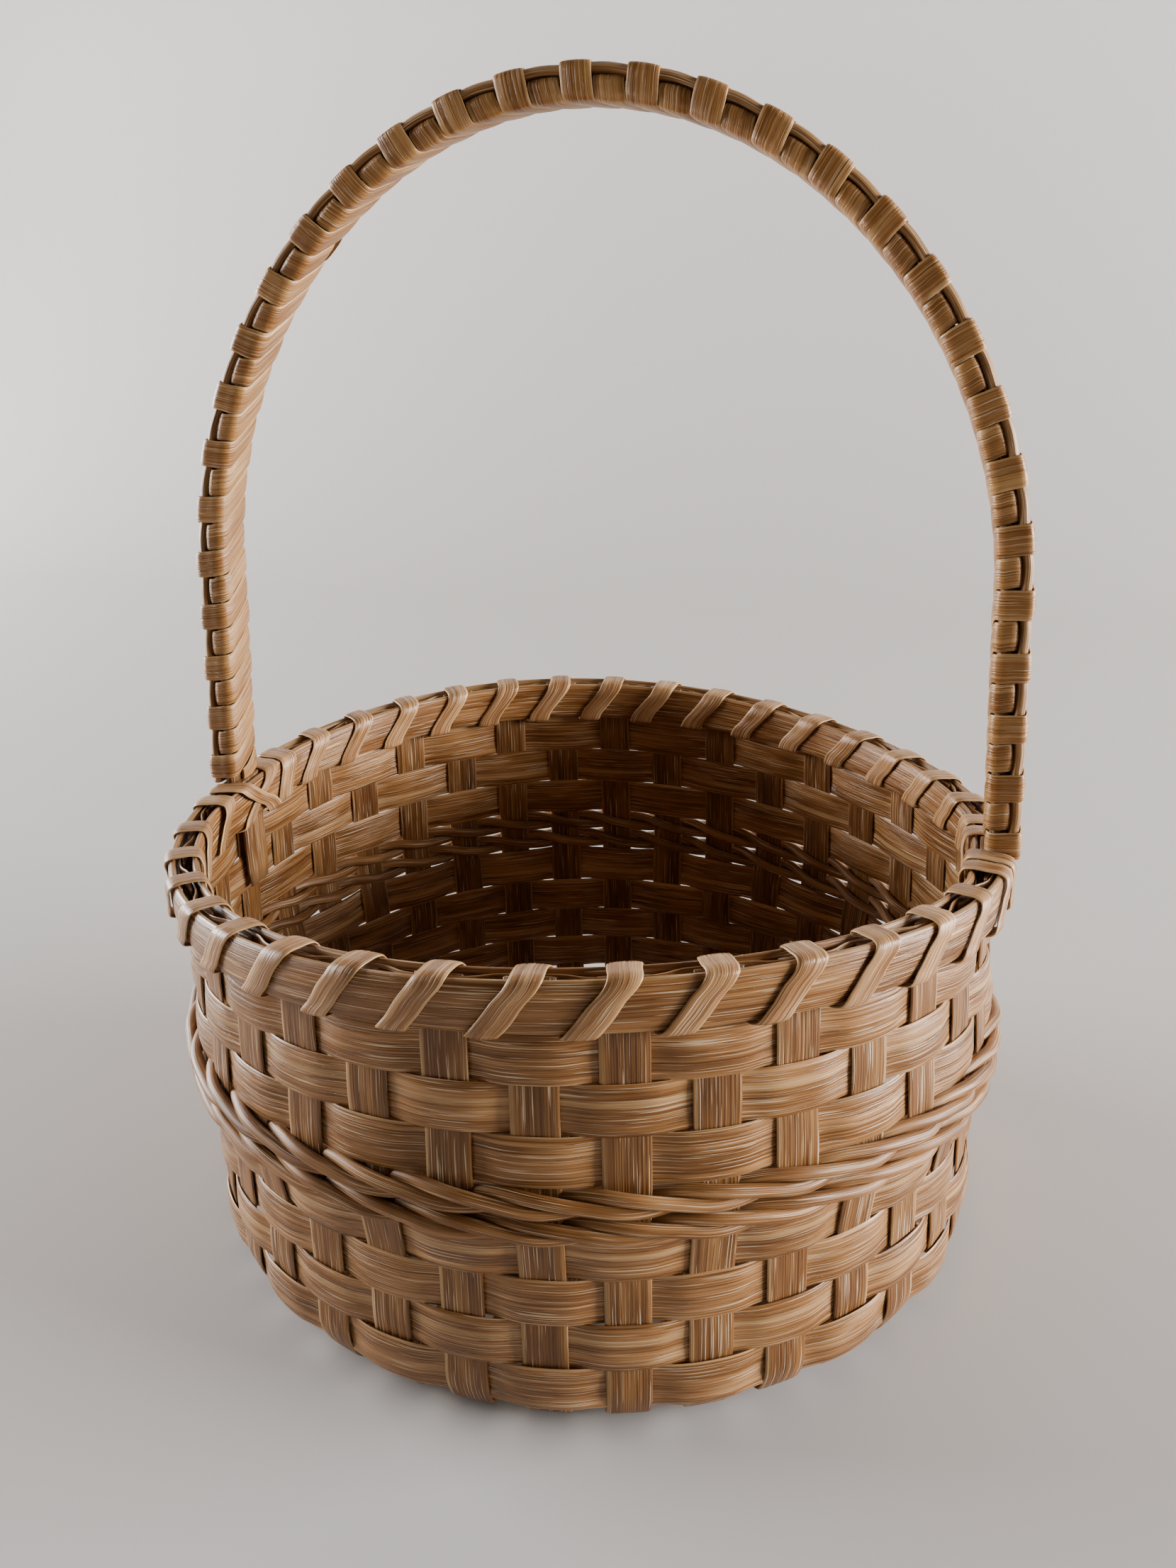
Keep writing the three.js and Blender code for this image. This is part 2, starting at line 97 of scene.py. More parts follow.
wallHeights = [turnHeight, footHeight, 26.7, 58.9, 84.5, 114.0, rimFoot, rimTop + 4]
wallRadii = [turnRadius, 141.8, 143.0, 142.3, 145.1, 143.9, wallTop, wallTop]


# Radius of the middle of a stake at a height
def wallRadius(z):
    return easeThrough(wallHeights, wallRadii, z)


# The finished basket is a little oval, and its rim sags on two sides and stands higher on the two between
settled = {"alongHandle": 1.0286, "acrossHandle": 0.9714, "sag": 5.75, "sagAngle": 24.3}


def settle(points):
    x, y, z = points.T
    turn = np.arctan2(y, x) - math.radians(settled["sagAngle"])
    fall = settled["sag"] / rimTop * (x * x + y * y) / wallTop**2 * np.cos(2 * turn)
    return np.stack([x * settled["alongHandle"], y * settled["acrossHandle"], z * (1 - fall)], 1)


# Section of a flat reed as (across, outward) points: square, soft at its edges, and domed if asked
def flatSection(width, thick, dome=0.0, hollow=0.0):
    x = np.array([-1, -0.985, -0.93, -0.8, -0.5, 0, 0.5, 0.8, 0.93, 0.985, 1])
    edge = (1 - np.abs(x) ** 8) ** 0.5
    outer = np.stack([x * width / 2, edge * thick / 2 + dome * (1 - x * x)], 1)
    inner = np.stack([x * width / 2, -edge * thick / 2 + hollow * (1 - x * x)], 1)
    return np.concatenate([outer, inner[-2:0:-1]])


def roundSection(radius, sides):
    turn = np.arange(sides) * 2 * np.pi / sides
    return np.stack([radius * np.sin(turn - np.pi / 2), radius * np.cos(turn - np.pi / 2)], 1)


# One reed laid along a line of places, with its face turned the way told. The map runs along the reed and
# round its section in millimetres, from a start that gives every reed its own stretch of grain. A slanting
# reed that folds over an edge is told the direction across it, which is that of the edge.
def shapeReed(places, outward, section, closed=False, wide=None, thick=None, grainFrom=0.0, across=None):
    places = np.asarray(places, float)
    outward = np.broadcast_to(outward, places.shape)
    along = np.roll(places, -1, 0) - np.roll(places, 1, 0) if closed else np.gradient(places, axis=0)
    along = unit(along)
    side = unit(np.cross(outward, along))
    if across is not None:
        side = unit(across * np.sign(np.sum(side * across, axis=1))[:, None])
    face = unit(np.cross(along, side))
    profile = np.broadcast_to(section, (len(places),) + section.shape[-2:]).copy()
    if wide is not None:
        profile[..., 0] *= np.asarray(wide)[:, None]
    if thick is not None:
        profile[..., 1] *= np.asarray(thick)[:, None]
    rings = places[:, None] + profile[..., :1] * side[:, None] + profile[..., 1:] * face[:, None]
    count, sides = rings.shape[:2]

    outline = section if section.ndim == 2 else section[0]
    girth = np.concatenate([[0], np.cumsum(np.linalg.norm(np.roll(outline, -1, 0) - outline, axis=1))])
    girth -= girth[np.argmax(outline[:, 1])]  # counted from the middle of the outer face
    reach = reachAlong(places)
    if closed:
        reach = np.append(reach, reach[-1] + np.linalg.norm(places[0] - places[-1]))
    reach += grainFrom

    i, k = np.meshgrid(np.arange(count if closed else count - 1), np.arange(sides), indexing="ij")
    here, there = i * sides, (i + 1) % count * sides
    nextSide = (k + 1) % sides
    faces = np.stack([here + k, there + k, there + nextSide, here + nextSide], -1).reshape(-1, 4)
    corners = ((reach[i], girth[k]), (reach[i + 1], girth[k]), (reach[i + 1], girth[k + 1]),
               (reach[i], girth[k + 1]))
    uv = np.stack([np.stack(corner, -1) for corner in corners], -2)
    caps = []
    if not closed:
        last = (count - 1) * sides
        caps = [list(range(sides)), [last + s for s in reversed(range(sides))]]
    capUv = np.concatenate([outline, outline[::-1]]) + [grainFrom, 0] if caps else np.zeros((0, 2))
    return {"points": rings.reshape(-1, 3), "faces": faces, "caps": caps,
            "uv": np.concatenate([uv.reshape(-1, 2), capUv])}


# One piece of the basket from one or more reeds; it rides on the basket and stands for its node
def makePiece(name, shapes, material, standsFor=None):
    points, faces, uv, flat = [], [], [], []
    for shape in shapes:
        start = sum(len(p) for p in points)
        points.append(shape["points"])
        faces += (shape["faces"] + start).tolist() + [[start + i for i in cap] for cap in shape["caps"]]
        flat += [False] * len(shape["faces"]) + [True] * len(shape["caps"])
        uv.append(shape["uv"])
    mesh = bpy.data.meshes.new(name)
    mesh.from_pydata((settle(np.concatenate(points)) * 0.001).tolist(), [], faces)
    mesh.uv_layers.new(name="grain").data.foreach_set("uv", np.concatenate(uv).ravel())
    mesh.polygons.foreach_set("use_smooth", [not f for f in flat])
    mesh.materials.append(material)
    mesh.validate()
    mesh.update()
    piece = bpy.data.objects.new(name, mesh)
    bpy.context.scene.collection.objects.link(piece)
    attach(piece, "root")
    if standsFor:
        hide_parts(standsFor)
    return piece


def linear(hexColour):
    parts = [int(hexColour[i:i + 2], 16) / 255 for i in (1, 3, 5)]
    return [p / 12.92 if p <= 0.04045 else ((p + 0.055) / 1.055) ** 2.4 for p in parts] + [1.0]


# Adds a node with its settings, and gives its inputs a value or a link
def addNode(tree, kind, inputs=None, **settings):
    made = tree.nodes.new(kind)
    for key, value in settings.items():
        setattr(made, key, value)
    for key, value in (inputs or {}).items():
        if isinstance(value, bpy.types.NodeSocket):
            tree.links.new(value, made.inputs[key])
        else:
            made.inputs[key].default_value = value
    return made


def setRamp(node, stops):
    ramp = node.color_ramp
    while len(ramp.elements) < len(stops):
        ramp.elements.new(0.5)
    for element, (at, colour) in zip(ramp.elements, stops):
        element.position = at
        element.color = linear(colour) if isinstance(colour, str) else [colour] * 3 + [1]
    return node.outputs["Color"]


# Reed is the core of rattan, split or turned and left bare. The eye sees long pale and brown fibres,
# dark pores where a vessel was cut open, a few pale fibres with a painted highlight on them, and slow
# changes of tone from reed to reed.
def rattanCore(name, look):
    material = bpy.data.materials.new(name)
    material.use_nodes = True
    tree = material.node_tree
    tree.nodes.clear()
    grain = addNode(tree, "ShaderNodeUVMap", uv_map="grain").outputs["UV"]

    # Noise stretched along the reed, with the length and width of a streak in mm. A shift gives each use
    # of it a place of its own.
    def streaks(length, width, detail, shift=0.0):
        place = addNode(tree, "ShaderNodeMapping", {
            "Vector": grain, "Location": (shift, shift * 1.7, 0), "Scale": (1 / length, 1 / width, 1)})
        return addNode(tree, "ShaderNodeTexNoise", {
            "Vector": place.outputs["Vector"], "Scale": 1.0, "Detail": detail, "Roughness": 0.55,
        }, noise_dimensions="2D").outputs["Fac"]

    fine = streaks(look["fibreLength"], look["fibreWidth"], 3)
    broad = streaks(look["fibreLength"] * 1.6, look["fibreWidth"] * 4.5, 2, 31)
    tone = streaks(look["toneLength"], look["toneWidth"], 2, 57)
    pores = streaks(look["poreLength"], look["poreWidth"], 2, 83)
    paintedGlints = streaks(look["poreLength"] * 1.3, look["poreWidth"], 1, 119)

    # The noise stays mostly between a third and two thirds, so the colours are spread over that
    mixed = addNode(tree, "ShaderNodeMix", {"Factor": look["broadShare"], "A": fine, "B": broad})
    mixed = addNode(tree, "ShaderNodeMix", {"Factor": look["toneShare"], "A": mixed.outputs[0], "B": tone})
    body = setRamp(addNode(tree, "ShaderNodeValToRGB", {"Fac": mixed.outputs[0]}), [
        (0.36, look["dark"]), (0.45, look["shade"]), (0.53, look["middle"]), (0.63, look["light"])])
    poreAmount = setRamp(addNode(tree, "ShaderNodeValToRGB", {"Fac": pores}), [
        (look["poreFrom"], 0.0), (look["poreFrom"] + 0.05, look["poreDepth"])])
    # Painted highlight: a few pale fibres get a whiter colour that stands for light glinting on them
    paintedGlintAmount = setRamp(addNode(tree, "ShaderNodeValToRGB", {"Fac": paintedGlints}), [
        (look["paintedGlintFrom"], 0.0), (look["paintedGlintFrom"] + 0.06, look["paintedGlintDepth"])])
    body = addNode(tree, "ShaderNodeMix", {
        "Factor": poreAmount, "A": body, "B": linear(look["pore"])}, data_type="RGBA").outputs["Result"]
    body = addNode(tree, "ShaderNodeMix", {
        "Factor": paintedGlintAmount, "A": body, "B": linear(look["paintedGlintColour"])}, data_type="RGBA").outputs["Result"]

    # The reed is painted paler towards its edges
    if "edge" in look:
        quarterGirth, halfThick = (look["reedWidth"] + look["reedThick"]) / 2, look["reedThick"] / 2
        across = addNode(tree, "ShaderNodeSeparateXYZ", {"Vector": grain}).outputs["Y"]
        across = addNode(tree, "ShaderNodeMath", {0: across, 1: quarterGirth}, operation="ADD").outputs[0]
        toEdge = addNode(tree, "ShaderNodeMath", {0: across, 1: quarterGirth},
                         operation="PINGPONG").outputs[0]
        toEdge = addNode(tree, "ShaderNodeMath", {0: toEdge, 1: broad}, operation="SUBTRACT").outputs[0]
        edgeAmount = addNode(tree, "ShaderNodeMapRange", {
            "Value": toEdge, "From Min": halfThick - 0.4, "From Max": halfThick + 0.35,
            "To Min": look["edgeShare"], "To Max": 0.0}).outputs["Result"]
        body = addNode(tree, "ShaderNodeMix", {
            "Factor": edgeAmount, "A": body, "B": linear(look["edge"])}, data_type="RGBA").outputs["Result"]

    # Fibres stand up to half a millimetre proud, and pores are shallow dents
    height = addNode(tree, "ShaderNodeMix", {"Factor": 0.45, "A": fine, "B": broad}).outputs[0]
    dents = addNode(tree, "ShaderNodeMath", {0: poreAmount, 1: 0.25}, operation="MULTIPLY").outputs[0]
    height = addNode(tree, "ShaderNodeMath", {0: height, 1: dents}, operation="SUBTRACT").outputs[0]
    bump = addNode(tree, "ShaderNodeBump", {
        "Height": height, "Strength": look["relief"], "Distance": 0.0005}).outputs["Normal"]
    roughness = addNode(tree, "ShaderNodeMapRange", {
        "Value": fine, "From Min": 0.35, "From Max": 0.65,
        "To Min": look["gloss"] - 0.08, "To Max": look["gloss"] + 0.12}).outputs["Result"]
    shader = addNode(tree, "ShaderNodeBsdfPrincipled", {
        "Base Color": body, "Roughness": roughness, "Normal": bump, "IOR": 1.5,
        "Specular Tint": linear("#ffe6cc")})
    addNode(tree, "ShaderNodeOutputMaterial", {"Surface": shader.outputs["BSDF"]})
    return material


# Flat reed, split and planed: satin, with straight fibres that catch the light. Lengths and widths are in
# mm. Real fibres are about 0.3 mm wide, and most are drawn up to twice as wide here, so that they show.
flatReed = {
    "fibreLength": 90, "fibreWidth": 0.62, "broadShare": 0.30,
    "toneLength": 45, "toneWidth": 9, "toneShare": 0.34,
    "poreLength": 22, "poreWidth": 0.42, "poreFrom": 0.65, "poreDepth": 0.55,
    "paintedGlintFrom": 0.64, "paintedGlintDepth": 0.55, "relief": 1.0, "gloss": 0.29,
    "edge": "#cfa670", "edgeShare": 0.4, "reedWidth": 16.1, "reedThick": 1.0,
    "dark": "#5b3415", "shade": "#734920", "middle": "#8e6034", "light": "#ad7e4e",
    # The glint colour is a painted highlight on a few pale fibres
    "pore": "#3e210c", "paintedGlintColour": "#e8cda6",
}
weaverReed = rattanCore("smoked flat reed", flatReed)
# Stakes are cut from older, darker reed: more open pores and less shine
stakeReed = rattanCore("smoked stake reed", dict(
    flatReed, dark="#4b290c", shade="#603a18", middle="#764c23", light="#8d6234",
    poreFrom=0.66, poreDepth=0.45, paintedGlintFrom=0.66, fibreWidth=0.6, gloss=0.42,
    reedWidth=14.0, reedThick=1.1))
# Hoops are thick reed with one face planed round: closer fibres, and edges that are hardly paler
hoopReed = rattanCore("flat oval hoop reed", dict(
    flatReed, dark="#55300f", shade="#6e441d", middle="#86582e", light="#a07342",
    poreFrom=0.66, poreDepth=0.45, fibreWidth=0.5, relief=0.9,
    reedWidth=16.0, reedThick=2.8, edgeShare=0.2))
# Lashing is cut thin and oval to bend sharply: paler and smoother, with clearly paler edges
lasherReed = rattanCore("flat oval lashing reed", dict(
    flatReed, dark="#68441f", shade="#845934", middle="#9f7247", light="#bc9060",
    poreFrom=0.68, fibreWidth=0.6, fibreLength=70, relief=0.75, gloss=0.30,
    reedWidth=9.4, reedThick=0.8, edgeShare=0.6))
# Round reed is turned from the core, so its fibres are finer and it looks smoother
roundReed = rattanCore("round reed", dict(
    {key: value for key, value in flatReed.items() if key != "edge"},
    dark="#512f0e", shade="#6c441c", middle="#86592e", light="#a37544",
    poreFrom=0.68, poreWidth=0.35, fibreWidth=0.34, fibreLength=60, relief=0.4, gloss=0.44))
# Wrapping is the same thin oval reed, rubbed by hands: few pores and quieter painted glints
wrapReed = rattanCore("handle wrapping reed", dict(
    flatReed, dark="#71451d", shade="#84562a", middle="#996a39", light="#b3864f",
    poreFrom=0.68, poreDepth=0.5, paintedGlintDepth=0.4, fibreWidth=0.45, fibreLength=70, relief=0.75, gloss=0.30,
    reedWidth=9.8, reedThick=0.8, edgeShare=0.45))
# The overlay is a thicker strip of flat reed, a shade darker and duller than the wrapping
overlayReed = rattanCore("dark overlay reed", dict(
    flatReed, dark="#613d1c", shade="#7a512b", middle="#93683c", light="#ad8050",
    poreFrom=0.66, gloss=0.36, reedWidth=17.5, reedThick=3.5, edgeShare=0.15))
# The core is steam bent hardwood, sanded: a broader, flatter grain with little shine
coreWood = rattanCore("steam bent handle wood", dict(
    {key: value for key, value in flatReed.items() if key != "edge"},
    dark="#4f3012", shade="#664120", middle="#7d552d", light="#946b3e",
    poreFrom=0.67, fibreWidth=0.8, fibreLength=90, relief=0.3, gloss=0.46))
print("materials made")


base = {"fanStart": 120.0, "turnStart": 131.0, "fanHeight": 3.95, "pitch": 18.0, "middle": 1.25, "swing": 0.7}
# Places across one crossing of the base, from its middle: level over the other spoke and steep beside it
crossing = np.array([-8.6, -7.6, -6.6, -5, 0, 5, 6.6, 7.6, 8.6])


# Where a stake crosses a radius on its way out from the woven base, on the +X side
def fanPlace(row, radius):
    start = np.array([4 * base["pitch"] + stake["width"] / 2, row * base["pitch"]])
    heading = polar(base["turnStart"], row * step, 0)[:2] - start
    heading /= np.linalg.norm(heading)
    along = start @ heading
    return start + heading * (-along + math.sqrt(along**2 - start @ start + radius**2))


# A stake leans out of the wall where a weaver passes inside it, and in where one passes outside
def stakeSway(z, isEven):
    fromFoot = range(7, 0, -1)
    heights = [0, 8] + [rowMiddle[n] for n in fromFoot] + [rimFoot, rimTop + 5]
    sways = [0, 0] + [(-1 if (n % 2 == 1) == isEven else 1) for n in fromFoot] + [0, 0]
    return stake["sway"] * easeThrough(heights, sways, z)


# The half of a spoke on the +X side, from the base to the rim, and the way its upper face looks
def stakeHalf(row, isEven, key):
    dice = random.Random(key)
    angle = row * step
    level = np.append(fanPlace(row, base["fanStart"]), base["fanHeight"])
    turn = np.append(fanPlace(row, base["turnStart"]), base["fanHeight"])
    tip = rimTop - stake["belowRim"]
    heights = np.arange(footHeight, tip, 3.0)
    heights[-1] = tip - dice.uniform(0, stake["uneven"])
    lean = dice.uniform(-stake["lean"], stake["lean"])  # degrees over 150 mm
    wall = polar(wallRadius(heights) + stakeSway(heights, isEven),
                 angle + lean * (heights - footHeight) / 150, heights)
    points = np.concatenate([[level], [turn], [polar(turnRadius, angle, turnHeight)], wall])
    out = polar(1, angle, 0)
    slope = np.gradient(points, axis=0)
    return points, unit(np.array([0, 0, 1.0]) * (slope @ out)[:, None] - out * slope[:, 2:])


for way in "xy":
    for number in range(1, spokesEachWay + 1):
        row = number - middleSpoke if way == "x" else middleSpoke - number
        sign = 1 if (row + (way == "y")) % 2 == 0 else -1  # over or under the middle spoke
        x = np.concatenate([crossing + i * base["pitch"] for i in range(-4, 5)])[2:-2]
        swing = np.cos(np.pi * x / base["pitch"])
        height = base["middle"] + base["swing"] * sign * np.sign(swing) * (1 - (1 - np.abs(swing)) ** 8)
        woven = np.stack([x, np.full_like(x, row * base["pitch"]), height], 1)
        halves = []
        for flip in (1, -1):
            angle = row * step if flip == 1 else 180 - row * step
            turned = angle + (90 if way == "y" else 0)
            points, tops = stakeHalf(row, round(turned / step) % 2 == 0, "stake%s%d%d" % (way, number, flip))
            halves.append((points * [flip, 1, 1], tops * [flip, 1, 1]))
        (points, tops), (farPoints, farTops) = halves
        points = np.concatenate([farPoints[::-1], woven, points])
        tops = np.concatenate([farTops[::-1], np.tile([0, 0, 1.0], (len(woven), 1)), tops])
        line = smoothLine(np.concatenate([points, tops], 1), 2.0)
        places, tops = line[:, :3], line[:, 3:]
        if way == "y":
            places, tops = (np.stack([-a[:, 1], a[:, 0], a[:, 2]], 1) for a in (places, tops))
        name = "spoke_%s_%d" % (way, number)
        share = np.linspace(0, 1, len(places))
        section = flatSection(stake["width"], stake["thick"], stake["dome"], stake["hollow"])
        shape = shapeReed(places, tops, section, wide=1 + wander(share, 9, 0.012, name),
                          grainFrom=1000 * number + (0 if way == "x" else 500))
        makePiece(name + "_reed", [shape], stakeReed, name)

# Each strand passes over the stakes that the next strand passes under
twining = {"inner": 121.8, "pitch": 3.4, "radius": 1.3, "crispness": 4.5}
for strand in range(4):
    radius = twining["inner"] + strand * twining["pitch"]
    stakeAngles = []
    for k in range(stakes):
        middle = fanPlace((k + 4) % spokesEachWay - 4, radius)
        stakeAngles.append(math.degrees(math.atan2(middle[1], middle[0])) + 90 * ((k + 4) // spokesEachWay))
    angles = np.arange(0, 360, 0.8)
    ring = np.concatenate([[stakeAngles[-1] - 360], stakeAngles, [stakeAngles[0] + 360]])
    passed = np.interp(angles, ring, np.arange(-1, stakes + 1))
    over = np.tanh(twining["crispness"] * np.cos(np.pi * passed)) * (1 if strand % 2 == 0 else -1)
    lift = stake["thick"] / 2 + 0.2 + twining["radius"]
    places = polar(radius + wander(angles / 360, 20, 0.12, strand), angles, base["fanHeight"] + lift * over)
    name = "base_twining_" + "abcd"[strand]
    shape = shapeReed(places, [0, 0, 1.0], roundSection(twining["radius"], 10), closed=True,
                      grainFrom=700 * strand)
    makePiece(name + "_reed", [shape], roundReed, name)
print("base and stakes laid")


# The weavers lie flat against the stakes, cup a little over them, and cross the wall in the gaps between them
rows = {"width": 16.1, "thick": 0.95, "dome": 0.12, "hollow": 0.05, "swell": 0.5, "cup": 0.5, "stand": 1.38,
        "crispness": 1.3, "spread": 0.14, "drift": 0.06, "tip": 0.02}
for number in range(1, 8):
    name = "weaver_row_%d" % number
    angles = np.arange(0, 360, 0.75)
    share = angles / 360
    swing = np.cos(np.radians(angles * stakes / 2)) * (1 if number % 2 == 1 else -1)
    swing = np.tanh(rows["crispness"] * swing) / np.tanh(rows["crispness"])
    dice = random.Random("row%d" % number)
    atStakes = np.arange(stakes + 1) * step
    gains = np.array([dice.uniform(0, 1) for _ in range(stakes)])
    gain = 1 + rows["spread"] * np.interp(angles, atStakes, np.append(gains, gains[0]))
    shift = rows["stand"] * swing * gain
    z = rowMiddle[number]
    lean = math.atan2(wallRadius(z + 5) - wallRadius(z - 5), 10)
    heights = z + wander(share, 14, rows["drift"], name)
    places = polar(wallRadius(z) + shift / math.cos(lean), angles, heights)
    tips = np.array([dice.uniform(-1, 1) for _ in range(stakes)])
    tip = rows["tip"] * np.interp(angles, atStakes, np.append(tips, tips[0]))
    outward = polar(np.cos(lean + tip), angles, -np.sin(lean + tip))
    flat = flatSection(rows["width"], rows["thick"], rows["dome"], rows["hollow"])
    sections = np.tile(flat, (len(places), 1, 1))
    sections[..., 1] -= rows["cup"] * swing[:, None] * (2 * flat[:, 0] / rows["width"]) ** 2
    wide = 1 + rows["swell"] / rows["width"] * np.abs(swing) + wander(share, 20, 0.006, name)
    shape = shapeReed(places, outward, sections, closed=True, wide=wide, grainFrom=950 * number)
    makePiece(name + "_reed", [shape], weaverReed, name)

# A rod passes inside one stake and outside the next two, and falls a little while it floats outside. The
# lists give its shift from the stakes and its climb at every half step, over two patterns of three stakes.
wale = {"radius": 2.1, "climb": 2.35, "stand": 3.0, "bow": 0.6, "lower": 79.5, "upper": 88.9}
stand, floating = wale["stand"], wale["stand"] + wale["bow"]
knots = np.arange(-1.5, 5.0, 0.5)
shifts = [floating] + 2 * [stand + 0.3, 0.2, -stand, 0.2, stand + 0.3, floating]
climbs = [0] + 2 * [-0.92, -1, 0, 1, 0.92, 0]
for layer in ("lower", "upper"):
    for rod in range(3):
        name = "wale_%s_%s" % (layer, "abc"[rod])
        turn = np.arange(0.05, stakes - 0.04, 0.08)  # in stakes passed
        share = turn / stakes
        heights = wale[layer] + wale["climb"] * easeThrough(knots, climbs, turn % 3)
        heights = heights + wander(share, 12, 0.1, name)
        shift = easeThrough(knots, shifts, turn % 3)
        places = polar(wallRadius(heights) + shift, (rod + turn) * step, heights)
        shape = shapeReed(places, polar(1, (rod + turn) * step, 0), roundSection(wale["radius"], 14),
                          wide=1 + wander(share, 17, 0.025, name),
                          thick=1 + wander(share, 11, 0.025, name + "t"),
                          grainFrom=900 * rod + (450 if layer == "upper" else 0))
        makePiece(name + "_reed", [shape], roundReed, name)
print("wall woven")


rim = {"height": rimTop - rimFoot, "outerMiddle": 146.5, "outerThick": 2.8, "outerDome": 0.45,
       "innerMiddle": 138.85, "innerThick": 2.5, "innerDome": 0.35, "legRoom": 2.5,
       "weaverWidth": 15.4, "weaverThick": 1.0, "weaverSwing": 1.5, "weaverDrop": 0.3, "crispness": 2.2}
rimMiddle = (rimFoot + rimTop) / 2
angles = np.arange(0, 360, 0.8)
share = angles / 360

swing = np.tanh(rim["crispness"] * np.cos(np.radians(angles * stakes / 2))) * -1
places = polar(wallTop + rim["weaverSwing"] * swing, angles, rimMiddle - rim["weaverDrop"])
section = flatSection(rim["weaverWidth"], rim["weaverThick"])
shape = shapeReed(places, polar(1, angles, 0), section, closed=True)
makePiece("rim_weaver_reed", [shape], weaverReed, "rim_weaver")


# The inner hoop stands in to leave room for the legs of the handle: fully up to 5.5 degrees from the middle
# of a leg, and not at all from 15 degrees on
def legRoom(angle):
    toLeg = np.abs((np.asarray(angle, float) + 90) % 180 - 90)
    share = np.clip(1 - (toLeg - 5.5) / 9.5, 0, 1)
    return rim["legRoom"] * share * share * (3 - 2 * share)


places = polar(rim["outerMiddle"] + wander(share, 5, 0.12, "outer"), angles, rimMiddle)
section = flatSection(rim["height"], rim["outerThick"], rim["outerDome"])
shape = shapeReed(places, polar(1, angles, 0), section, closed=True,
                  wide=1 + wander(share, 9, 0.008, "outerwide"))
makePiece("rim_outer_hoop_reed", [shape], hoopReed, "rim_outer_hoop")
places = polar(rim["innerMiddle"] - legRoom(angles), angles, rimMiddle)
section = flatSection(rim["height"], rim["innerThick"], rim["innerDome"])
shape = shapeReed(places, -polar(1, angles, 0), section, closed=True,
                  wide=1 + wander(share, 9, 0.008, "innerwide"), grainFrom=1200)
makePiece("rim_inner_hoop_reed", [shape], hoopReed, "rim_inner_hoop")

# The last four are in degrees from the middle of a leg
lasher = {"width": 9.4, "thick": 0.8, "dome": 0.28, "hollow": 0.1, "outer": 149.0, "inner": 136.6,
          "low": rimFoot - 0.7, "high": rimTop + 0.6, "halfDeep": 5.5, "halfHigh": 8.7,
          "legSide": 5.7, "legEnd": 7.3, "crossSide": 5.3, "crossEnd": 3.8}
crossInward, topOfLoop = 1.1, 6  # the cross lies inside the lacing, and its arm starts on top of the rim


# One loop as (angle, radius, height): up the outside, over the top, down the inside and out below the hoops
def lasherLoop(start, top, end, inward=0.0):
    outer, inner, low, high = (lasher[key] for key in ("outer", "inner", "low", "high"))
    outside = [(0.0, outer - 1.6, low), (0.03, outer - 0.3, low + 0.5), (0.3, outer + 0.1, rimFoot + 4),
               (0.62, outer + 0.1, rimFoot + 10), (0.9, outer, rimTop - 1.5),
               (0.97, outer - 0.6, rimTop - 0.05), (1.0, outer - 2.0, high)]
    inside = [(0.05, 2.6, high), (0.08, 0.8, rimTop), (0.14, 0.05, rimTop - 1.5), (0.5, -0.1, rimFoot + 8.5),
              (0.88, 0.0, rimFoot + 2.5), (0.97, 0.35, low + 0.4), (1.0, 1.8, low)]
    loop = [(start + (top - start) * share, radius, z) for share, radius, z in outside]
    loop.append((top + (end - top) * 0.02, (outer + inner) / 2, high + 0.2))
    for share, reach, z in inside:
        angle = top + (end - top) * share
        room = max(legRoom(angle - 2), legRoom(angle + 2))
        loop.append((angle, inner - room - inward + reach, z))
    return loop


# The lasher's face looks away from the middle of the rim, as from an oval round it
def lasherShape(loops, key):
    points = np.array([polar(radius, angle, z) for loop in loops for angle, radius, z in loop])
    places = smoothLine(points, 0.9)
    radius = np.hypot(places[:, 0], places[:, 1])
    out = places * [1, 1, 0] / radius[:, None]
    outward = out * ((radius - wallTop) / lasher["halfDeep"] ** 2)[:, None]
    outward[:, 2] = (places[:, 2] - rimMiddle) / lasher["halfHigh"] ** 2
    share = np.linspace(0, 1, len(places))
    edge = np.stack([-out[:, 1], out[:, 0], out[:, 2]], 1)
    section = flatSection(lasher["width"], lasher["thick"], lasher["dome"], lasher["hollow"])
    return shapeReed(places, unit(outward), section, across=edge,
                     wide=1 + wander(share, 40, 0.04, key), grainFrom=2000 if "b" in key else 0)


loopsEachLength = stakes // 2
for name, first in (("rim_lashing_a", 0), ("rim_lashing_b", 180)):
    loops = []
    for k in range(loopsEachLength):
        start = first - step / 2 + k * step
        top = first - lasher["legSide"] if k == 0 else start + step / 2
        end = first + 180 - lasher["legEnd"] if k == loopsEachLength - 1 else start + step
        loops.append(lasherLoop(start, top, end))
    makePiece(name + "_reed", [lasherShape(loops, name)], lasherReed, name)
for name, first in (("leg_cross_right", 0), ("leg_cross_left", 180)):
    loop = lasherLoop(first + step / 2, first + lasher["crossSide"], first - lasher["crossEnd"], crossInward)
    makePiece(name + "_reed", [lasherShape([loop[topOfLoop:]], name)], lasherReed, name)
print("rim laced")


